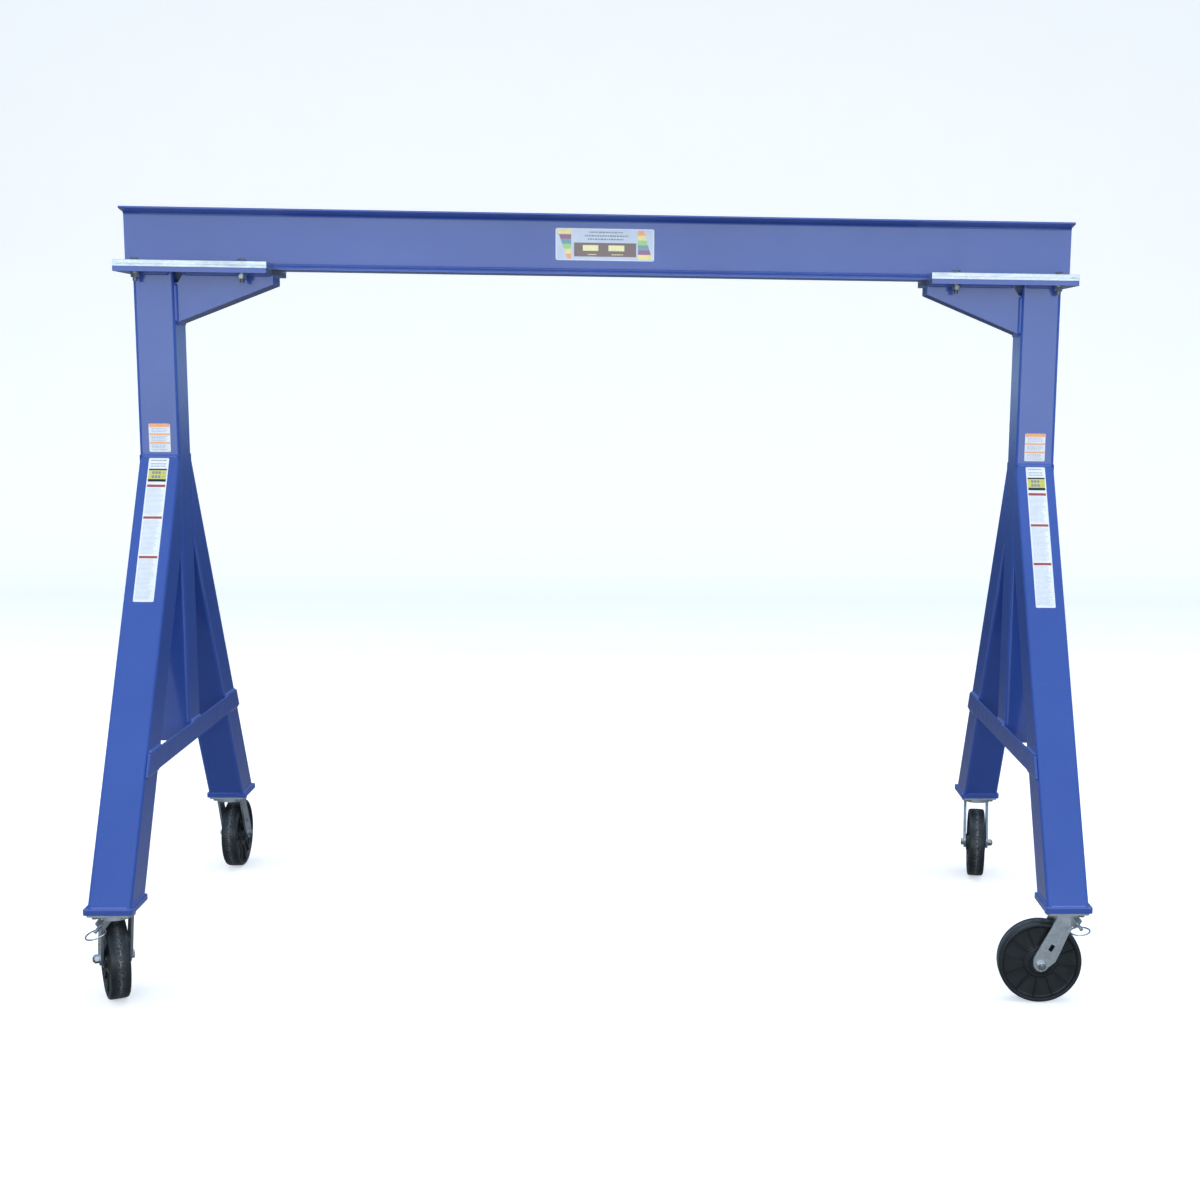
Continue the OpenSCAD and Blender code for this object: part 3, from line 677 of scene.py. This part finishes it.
def wheel_mesh(key):
    m0 = place(key) @ Matrix.Translation((TRAIL, 0, R)) @ Matrix.Rotation(math.pi / 2, 4, "X")
    h, w = 0.029, 0.0235
    mm = 0.001
    half = [(14.2, h / mm), (23.2, h / mm), (25.6, 27.0), (27.2, 20.6), (36, 19.5), (38.2, 17.8), (40.0, 14.5), (86.5, 14.5), (89.4, 15.8), (91.2, 22.0), (92.6, 23.1),
            (96.3, 23.5), (99.2, 21.9), (100.8, 18.8), (101.35, 13), (101.6, 4), (101.6, 0)]
    rad = [0, 1.0, 2.2, 3.0, 2.0, 2.5, 4.0, 4.0, 4.0, 1.6, 1.2, 3.0, 4, 3, 6, 8, 0]
    prof = fillet(half, rad, 4)
    prof = [(a * mm, b * mm) for a, b in prof]
    full = prof + [(a, -b) for a, b in reversed(prof[:-1])]
    bm = bmesh.new()
    n = 144
    rings = [circle(a, b, n) for a, b in full]
    rings_solid(bm, rings + [rings[0]], None, cap0=False, cap1=False)
    weld_doubles(bm, 1e-7)
    # the rib layer marks the rib vertices for the painted shade in the wheel material
    rib = bm.verts.layers.float.new("rib")
    # radial ribs
    for k in (-1, 1):
        for i in range(12):
            a = math.radians(i * 30 + 8)
            ribs = []
            for (r0, hz) in ((0.034, 17.9), (0.045, 18.3), (0.060, 19.0), (0.076, 19.8), (0.0905, 20.5)):
                hz *= mm
                sec = []
                for (t, z) in ((-2.0, 10.0), (-1.55, hz / mm - 1.4), (-1.0, hz / mm - 0.3), (0, hz / mm), (1.0, hz / mm - 0.3), (1.55, hz / mm - 1.4), (2.0, 10.0)):
                    p = Vector((r0, t * mm, k * z * mm))
                    sec.append(Matrix.Rotation(a, 4, "Z") @ p)
                ribs.append(sec)
            before = len(bm.verts)
            rings_solid(bm, ribs)
            bm.verts.ensure_lookup_table()
            for v in bm.verts[before:]:
                v[rib] = 1.0
    # ring round the hub recess
    for k in (-1, 1):
        lathe_ring(bm, None, [(0.0305, k * 0.0196), (0.0312, k * 0.0209), (0.0328, k * 0.0209), (0.0335, k * 0.0194)], 96)
    bmesh.ops.recalc_face_normals(bm, faces=bm.faces)
    lay = bm.verts.layers.float.new("scuff")
    for v in bm.verts:
        r = math.hypot(v.co.x, v.co.y)
        if r > 0.1005:
            v[lay] = max(0.0, 1 - abs(v.co.z) / 0.0060)
    bmesh.ops.transform(bm, matrix=m0, verts=bm.verts)
    return finish_mesh(key + "_wheel_moulded", bm, [M_BLACK], key + "_wheel", (key + "_wheel",), angle=38, weighted=False)


def axle_mesh(key):
    o = FORK_GAP / 2 + FORK_T
    m = place(key) @ Matrix.Translation((TRAIL, 0, R))
    bm = bmesh.new()
    rnd = random.Random(len(key) * 7)
    # head on -Y, nut and thread end on +Y
    mh = m @ Matrix.Translation((0, -o, 0)) @ Matrix.Rotation(math.pi / 2, 4, "X")
    hex_solid(bm, mh, 0.019, 0.008, turn=rnd.random(), washer=0.0006)
    ms = m @ Matrix.Rotation(-math.pi / 2, 4, "X")
    lathe(bm, ms, [(0.00635, -o - 0.0003), (0.00635, o + 0.0005)], 40)
    threaded(bm, ms, 0.00635, o + 0.0004, o + 0.0148, chamfer1=0.0013)
    mn = m @ Matrix.Translation((0, o, 0)) @ Matrix.Rotation(-math.pi / 2, 4, "X")
    hex_solid(bm, mn, 0.019, 0.0108, bore=0.0064, bottom=False, turn=rnd.random(), washer=0.0006)
    # nylon-insert collar
    lathe_ring(bm, mn, [(0.0066, 0.0108), (0.0086, 0.0108), (0.0086, 0.0121), (0.0079, 0.0129), (0.0068, 0.0129)], 48)
    weld_doubles(bm)
    finish_mesh(key + "_axle_bolt", bm, [M_NUT], key + "_caster", (key + "_axle",), angle=38, weighted=False)
    # bearing sleeve with faces turned
    bm = bmesh.new()
    hl = FORK_GAP / 2 - 0.00125
    lathe_ring(bm, ms, [(0.00643, -hl), (0.0068, -hl - 0.0), (0.0136, -hl), (0.01415, -hl + 0.0006), (0.01415, hl - 0.0006), (0.0136, hl), (0.0068, hl), (0.00643, hl - 0.0004), (0.00643, -hl + 0.0004)], 64)
    weld_doubles(bm)
    finish_mesh(key + "_bearing_sleeve", bm, [M_WIRE], key + "_wheel", (key + "_wheel_bearing",), angle=38, weighted=False)


def lock_frame(key):
    return place(key) @ Matrix.Rotation(math.radians(LOCK_ANG), 4, "Z") @ Matrix.Translation((0.024, 0, CROWN - 0.001)) @ Matrix.Rotation(math.pi / 2 + TILT, 4, "Y")


for key in ANG:
    C = key + "_caster"
    refined(key + "_fork", C, [M_STAMP], 0.0011, 2, limit=40, angle=38)
    wheel_mesh(key)
    axle_mesh(key)
    if not key.endswith("front"):
        continue
    L = lock_frame(key)
    refined(key + "_lock_pin", key + "_lock_pin", [M_NUT], 0.0005, 2, limit=50, angle=38)
    # spring wire
    bm = bmesh.new()
    turns, wr, cr, z0, z1, n = 3.6, 0.00075, 0.0059, 0.0236, 0.0296, 150
    rings = []
    for i in range(n + 1):
        a = 2 * math.pi * turns * i / n
        c = Vector((cr * math.cos(a), cr * math.sin(a), z0 + (z1 - z0) * i / n))
        u = Vector((math.cos(a), math.sin(a), 0))
        rings.append([c + u * (wr * math.cos(t)) + Vector((0, 0, wr * math.sin(t))) for t in [2 * math.pi * j / 12 for j in range(12)]])
    rings_solid(bm, rings, L)
    bmesh.ops.recalc_face_normals(bm, faces=bm.faces)
    finish_mesh(key + "_lock_spring_wire", bm, [M_WIRE], C, (key + "_lock_spring",), angle=60, weighted=False)
    # pull ring: one turn of wire with its ends butted
    yaw, dip, cant = (280, 9, 13) if key == "left_front" else (256, 5, 6)
    A = math.radians(ANG[key] + LOCK_ANG)
    k = place(key).translation
    er = 0.024 + EYE_S * math.cos(TILT)
    eye = Vector((k.x + er * math.cos(A), k.y + er * math.sin(A), CROWN - 0.001 - EYE_S * math.sin(TILT)))
    rr, wr = 0.0232, 0.0018
    m = Matrix.Translation(eye) @ Matrix.Rotation(math.radians(yaw), 4, "Z") @ Matrix.Rotation(math.radians(dip), 4, "Y") @ Matrix.Rotation(math.radians(cant), 4, "X") @ Matrix.Translation((rr - 0.0004, 0, 0))
    bm = bmesh.new()
    n = 120
    rings = []
    gap = 0.010
    for i in range(n + 1):
        a = gap + (2 * math.pi - 2 * gap) * i / n
        u = Vector((math.cos(a), math.sin(a), 0))
        e = 1.0 if 1 < i < n - 1 else (0.97 if i in (1, n - 1) else 0.80)
        rings.append([u * (rr + wr * e * math.cos(t)) + Vector((0, 0, wr * e * math.sin(t))) for t in [2 * math.pi * j / 16 for j in range(16)]])
    rings_solid(bm, rings, m)
    bmesh.ops.recalc_face_normals(bm, faces=bm.faces)
    finish_mesh(key + "_pull_ring_wire", bm, [M_WIRE], key + "_lock_ring", (key + "_lock_ring",), angle=60, weighted=False)


# ---------------------------------------------------------------- printed sheets
def sheet_print(name, body, m, size, quads, base_mat, mats, replaces=(), corner=3.0):
    """A printed sheet: base with rounded corners plus raised ink areas. m maps label millimetres (x right, y up, z out).
    A negative ink number is printed over another ink area."""
    w, h = size
    bm = bmesh.new()
    pts = []
    for cx, cy, a0 in ((w / 2 - corner, h / 2 - corner, 0), (-w / 2 + corner, h / 2 - corner, 90), (-w / 2 + corner, -h / 2 + corner, 180), (w / 2 - corner, -h / 2 + corner, 270)):
        for i in range(7):
            a = math.radians(a0 + 15 * i)
            pts.append((cx + corner * math.cos(a), cy + corner * math.sin(a)))
    rings = [[(x, y, z) for x, y in pts] for z in (0.0, 0.26)]
    sh = [(x * (1 - 0.12 / w), y * (1 - 0.12 / h), 0.30) for x, y in pts]
    rings_solid(bm, rings + [sh], m)
    for mi, poly in quads:
        area = sum(poly[i][0] * poly[(i + 1) % len(poly)][1] - poly[(i + 1) % len(poly)][0] * poly[i][1] for i in range(len(poly)))
        if area < 0:
            poly = list(reversed(poly))
        z0, z1 = (0.29, 0.345) if mi >= 0 else (0.34, 0.385)
        rings = [[(x, y, z) for x, y in poly] for z in (z0, z1)]
        for f in rings_solid(bm, rings, m):
            f.material_index = abs(mi)
    bmesh.ops.recalc_face_normals(bm, faces=bm.faces)
    return finish_mesh(name, bm, [base_mat] + mats, body, replaces, angle=30, weighted=False)


def rect(x0, y0, x1, y1):
    return [(x0, y0), (x1, y0), (x1, y1), (x0, y1)]


def dashes(rnd, x0, x1, y, h, mi, lo=1.2, hi=5.5, gap=0.9, fill=1.0):
    """A row of short bars, standing for a line of print."""
    out = []
    x = x0
    end = x0 + (x1 - x0) * fill
    while x < end - lo:
        d = rnd.uniform(lo, hi)
        out.append((mi, rect(x, y - h / 2, min(x + d, end), y + h / 2)))
        x += d + gap
    return out


MM = Matrix.Scale(0.001, 4)
rnd = random.Random(11)

# beam sheet: 254 x 81, pale, colour scales at both ends, dark panel in the middle
mats = [V_YEL, V_PUR, V_TEA, V_GRN, V_ORA, V_BRN, V_YEL2, V_GRY, V_WHITE]
q = [(9, rect(-122.5, 38.3, 122.5, 40.2)), (9, rect(-122.5, -40.2, 122.5, -38.0)), (9, rect(-126.7, -36.0, -124.3, 36.0)), (9, rect(124.3, -36.0, 126.7, 36.0))]
cols = [1, 2, 3, 4, 1, 5]
# left scale: wide at the top, its left edge slanting in
yt, yb = 37.5, -36.5
nb = 6
for i in range(nb):
    a, b = i / nb, (i + 1) / nb
    ya, yc = yt + (yb - yt) * a, yt + (yb - yt) * b
    xa, xc = -123.0 + 26.0 * a, -123.0 + 26.0 * b
    q.append((cols[i], [(xa, ya), (-87.0, ya), (-87.0, yc + 0.3), (xc, yc + 0.3)]))
rc = [5, 1, 4, 3, 2, 1]
for i in range(nb):
    a, b = i / nb, (i + 1) / nb
    ya, yc = yt - 1 + (yb - yt + 1) * a, yt - 1 + (yb - yt + 1) * b
    xa, xc = 100.0 + 22.0 * a, 100.0 + 22.0 * b
    q.append((rc[i], [(85.0, ya), (xa, ya), (xc, yc + 0.3), (85.0, yc + 0.3)]))
q.append((6, rect(-79.5, -30.5, 80.5, 4.5)))
# blocks on the dark panel
q.append((-7, rect(-57.0, -16.0, -17.0, -1.5)))
q.append((-7, rect(9.0, -16.0, 50.0, -1.5)))
q += dashes(rnd, -44, -22, -25.0, 2.2, -7, 2, 5, 1.0)
q += dashes(rnd, 17, 48, -25.0, 2.2, -7, 2, 5, 1.0)
q += dashes(rnd, -40, 46, 31.0, 3.4, 8, 2.5, 7, 1.8)
q += dashes(rnd, -52, 60, 22.0, 3.4, 8, 2.5, 7, 1.8)
q += dashes(rnd, -44, 50, 13.5, 3.4, 8, 2.5, 7, 1.8)
lo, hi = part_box("beam_label")
c = (lo + hi) / 2
m = frame_at((c.x, hi.y, c.z), (1, 0, 0), (0, -1, 0)) @ MM
sheet_print("beam_sheet_printed", B, m, (254, 81), q, V_PALE, mats, ("beam_label",), corner=4)

for s, side in ((-1, "left"), (1, "right")):
    T = side + "_trestle"
    # column sheet 54 x 72.4: three header bands and lines
    rnd = random.Random(23 + s)
    q = []
    for yb, hh in ((31.6, 8.6), (9.2, 4.2), (-12.8, 4.2)):
        q.append((1, rect(-26.0, yb - hh / 2, 26.0, yb + hh / 2)))
    for y0 in (23.5, 19.8, 16.0):
        q += dashes(rnd, -20, 20, y0, 1.6, 2, 2, 6, 1.4)
    for y0 in (4.0, 0.6, -2.8, -6.4):
        q += dashes(rnd, -21, 22, y0, 1.5, 2, 2, 6, 1.4, rnd.uniform(0.75, 1))
    for y0 in (-18.2, -21.8, -25.4, -30.5):
        q += dashes(rnd, -21, 22, y0, 1.5, 2, 2, 6, 1.4, rnd.uniform(0.75, 1))
    m = frame_at((s * (HS - 0.002), -Q, JOIN + 0.045), (1, 0, 0), (0, -1, 0)) @ MM
    a = sheet_print(f"{side}_column_sheet_printed", T, m, (54, 72.4), q, V_WHITE, [V_ORA, V_LGR], (f"{side}_labels",))
    # leg sheet 51 x 390
    q = []
    top = 195.0
    for d in (6.7, 16.2, 22.6):
        q += dashes(rnd, -19, 19, top - d, 2.1, 1, 2.5, 7, 1.2)
    q.append((2, rect(-22.5, top - 34.0, 22.5, top - 29.9)))
    q.append((3, rect(-22.5, top - 58.3, 22.5, top - 34.2)))
    q.append((2, rect(-22.5, top - 65.6, 22.5, top - 58.5)))
    for yy in (top - 40.6, top - 52.0):
        x = -14.0
        for wd in (6.2, 6.2, 6.2):
            q.append((-1, rect(x, yy - 3.6, x + wd, yy + 3.6)))
            x += wd + 1.8
        q.append((-1, rect(x + 3.5, yy - 1.2, x + 8.5, yy + 0.6)))
    for d, hh in ((77.2, 7.0), (164.3, 6.5), (271.2, 6.5)):
        q.append((4, rect(-23.0, top - d - hh / 2, 23.0, top - d + hh / 2)))
    for y0, y1 in ((84, 157), (171, 264), (278, 383)):
        y = y0
        while y < y1:
            q += dashes(rnd, -21.5, 21.5, top - y, 1.15, 5, 1.5, 5.0, 1.0, rnd.uniform(0.72, 1.0))
            y += 3.35
    out = Vector((0, -math.cos(LEAN), math.sin(LEAN)))
    up = Vector((0, math.sin(LEAN), math.cos(LEAN)))
    cpos = Vector((s * HS, -Q, JOIN)) - up * (0.0075 + 0.195)
    m = frame_at(cpos, (1, 0, 0), out) @ MM
    sheet_print(f"{side}_leg_sheet_printed", T, m, (51, 390), q, V_WHITE, [V_GRY, V_BLK, V_LBL, V_RED, V_LGR])


# ---------------------------------------------------------------- stage, light, camera
def stage_mat(name, c, emit=0.0):
    m, nt, p = mat_new(name)
    n1 = noise_tex(nt, coords(nt), 3, 3, 0.5)
    col = ramp(nt, n1, [(0.3, tuple(x * 0.985 for x in c)), (0.7, c)])
    nt.links.new(col, p.inputs["Base Color"])
    p.inputs["Roughness"].default_value = 0.9
    p.inputs["Specular IOR Level"].default_value = 0.1
    if emit:
        p.inputs["Emission Color"].default_value = (1, 1, 1, 1)
        p.inputs["Emission Strength"].default_value = emit
    return m


bm = bmesh.new()
prof = []
rc, yw = 2.5, 9.0
prof.append((-14.0, 0.0))
prof.append((yw - rc, 0.0))
for i in range(1, 16):
    a = math.radians(90 * i / 16)
    prof.append((yw - rc + rc * math.sin(a), rc - rc * math.cos(a)))
prof.append((yw, rc))
prof.append((yw, 9.0))
vs = [[bm.verts.new((x, y, z)) for y, z in prof] for x in (-16, 16)]
for i in range(len(prof) - 1):
    bm.faces.new((vs[0][i], vs[1][i], vs[1][i + 1], vs[0][i + 1]))
bmesh.ops.recalc_face_normals(bm, faces=bm.faces)
me = bpy.data.meshes.new("studio_sweep")
bm.to_mesh(me); bm.free()
me.polygons.foreach_set("use_smooth", [True] * len(me.polygons))
me.materials.append(stage_mat("pale_sweep", (0.80, 0.79, 0.78), 0.42))
sweep = bpy.data.objects.new("studio_sweep", me)
bpy.context.scene.collection.objects.link(sweep)
sweep.location.z = -0.0004
sweep.visible_diffuse = False
sweep.visible_glossy = False

world = bpy.data.worlds.new("studio")
bpy.context.scene.world = world
world.use_nodes = True
nt = world.node_tree
bg = nt.nodes["Background"]
tc = node(nt, "ShaderNodeTexCoord")
sep = node(nt, "ShaderNodeSeparateXYZ")
nt.links.new(tc.outputs["Generated"], sep.inputs[0])
mr = node(nt, "ShaderNodeMapRange")
mr.inputs["From Min"].default_value = -1
mr.inputs["From Max"].default_value = 1
nt.links.new(sep.outputs["Z"], mr.inputs["Value"])
z = lambda e: (math.sin(math.radians(e)) + 1) / 2
col = ramp(nt, mr.outputs["Result"], [
    (0.0, (0.12, 0.15, 0.20)), (z(-32), (0.20, 0.22, 0.24)), (z(-20), (0.36, 0.38, 0.37)), (z(-15), (0.20, 0.22, 0.24)), (z(-10), (0.045, 0.065, 0.12)), (z(-6), (0.035, 0.06, 0.12)), (z(-3.2), (0.08, 0.12, 0.20)), (z(-1.8), (0.26, 0.36, 0.50)),
    (z(-0.3), (0.44, 0.62, 0.86)), (z(1.0), (0.40, 0.58, 0.80)), (z(2.6), (0.06, 0.10, 0.19)), (z(9), (0.07, 0.11, 0.20)), (z(22), (0.30, 0.44, 0.68)),
    (z(45), (0.42, 0.62, 0.95)), (z(70), (0.62, 0.75, 0.95)), (1.0, (0.9, 1.0, 1.1))])
nt.links.new(col, bg.inputs["Color"])
bg.inputs["Strength"].default_value = 0.80


def area(name, loc, target, sx, sy, radiance, color=(1, 1, 1), glossy=True):
    l = bpy.data.lights.new(name, "AREA")
    l.shape = "RECTANGLE"
    l.size, l.size_y = sx, sy
    l.energy = radiance * math.pi * sx * sy
    l.color = color
    o = bpy.data.objects.new(name, l)
    bpy.context.scene.collection.objects.link(o)
    o.location = loc
    o.rotation_euler = (Vector(target) - Vector(loc)).to_track_quat("-Z", "Y").to_euler()
    o.visible_camera = False
    o.visible_glossy = glossy
    return o


area("top_softbox", (0.0, 0.2, 5.6), (0, 0.1, 0), 7.5, 4.6, 1.30, (1.0, 0.99, 0.97))
area("front_card", (-0.6, -9.0, 1.9), (-0.6, 0, 1.9), 11.0, 3.4, 1.78, (0.80, 0.89, 0.95))
area("front_floor", (0.0, -5.2, 0.004), (0.0, -5.2, 3.0), 9.0, 7.0, 0.46, (0.78, 0.90, 1.0))
area("front_fill", (0.0, -7.0, 3.4), (0, 0, 1.0), 9.0, 4.0, 1.75, (0.98, 1.0, 1.0), glossy=False)
area("left_fill", (-9.0, -1.0, 2.4), (0, 0, 1.0), 8.0, 5.0, 3.9, (0.92, 1.0, 1.05), glossy=False)
area("right_fill", (9.0, -1.0, 2.4), (0, 0, 1.0), 8.0, 5.0, 3.9, (0.92, 1.0, 1.05), glossy=False)

cam = bpy.data.cameras.new("camera")
co = bpy.data.objects.new("camera", cam)
bpy.context.scene.collection.objects.link(co)
yaw, pitch, roll = math.radians(2.560), math.radians(8.464), math.radians(0.745)
f = Vector((math.sin(yaw), math.cos(yaw), 0))
r_ = Vector((math.cos(yaw), -math.sin(yaw), 0))
Z = Vector((0, 0, 1))
f2 = math.cos(pitch) * f - math.sin(pitch) * Z
u2 = math.sin(pitch) * f + math.cos(pitch) * Z
right = math.cos(roll) * r_ + math.sin(roll) * u2
up_ = -math.sin(roll) * r_ + math.cos(roll) * u2
co.matrix_world = Matrix(((right.x, up_.x, -f2.x, 0.12837), (right.y, up_.y, -f2.y, -4.18097), (right.z, up_.z, -f2.z, 1.50829), (0, 0, 0, 1)))
cam.sensor_fit = "HORIZONTAL"
cam.sensor_width = 36
cam.lens = 1578.45 / 1200 * 36
cam.shift_x = -(720.84 - 600) / 1200
cam.shift_y = (610.16 - 600) / 1200
cam.clip_start, cam.clip_end = 0.05, 100
bpy.context.scene.camera = co
bpy.context.scene.view_settings.view_transform = "Standard"
bpy.context.scene.view_settings.look = "None"
bpy.context.scene.view_settings.exposure = 0.0

bpy.context.view_layer.update()
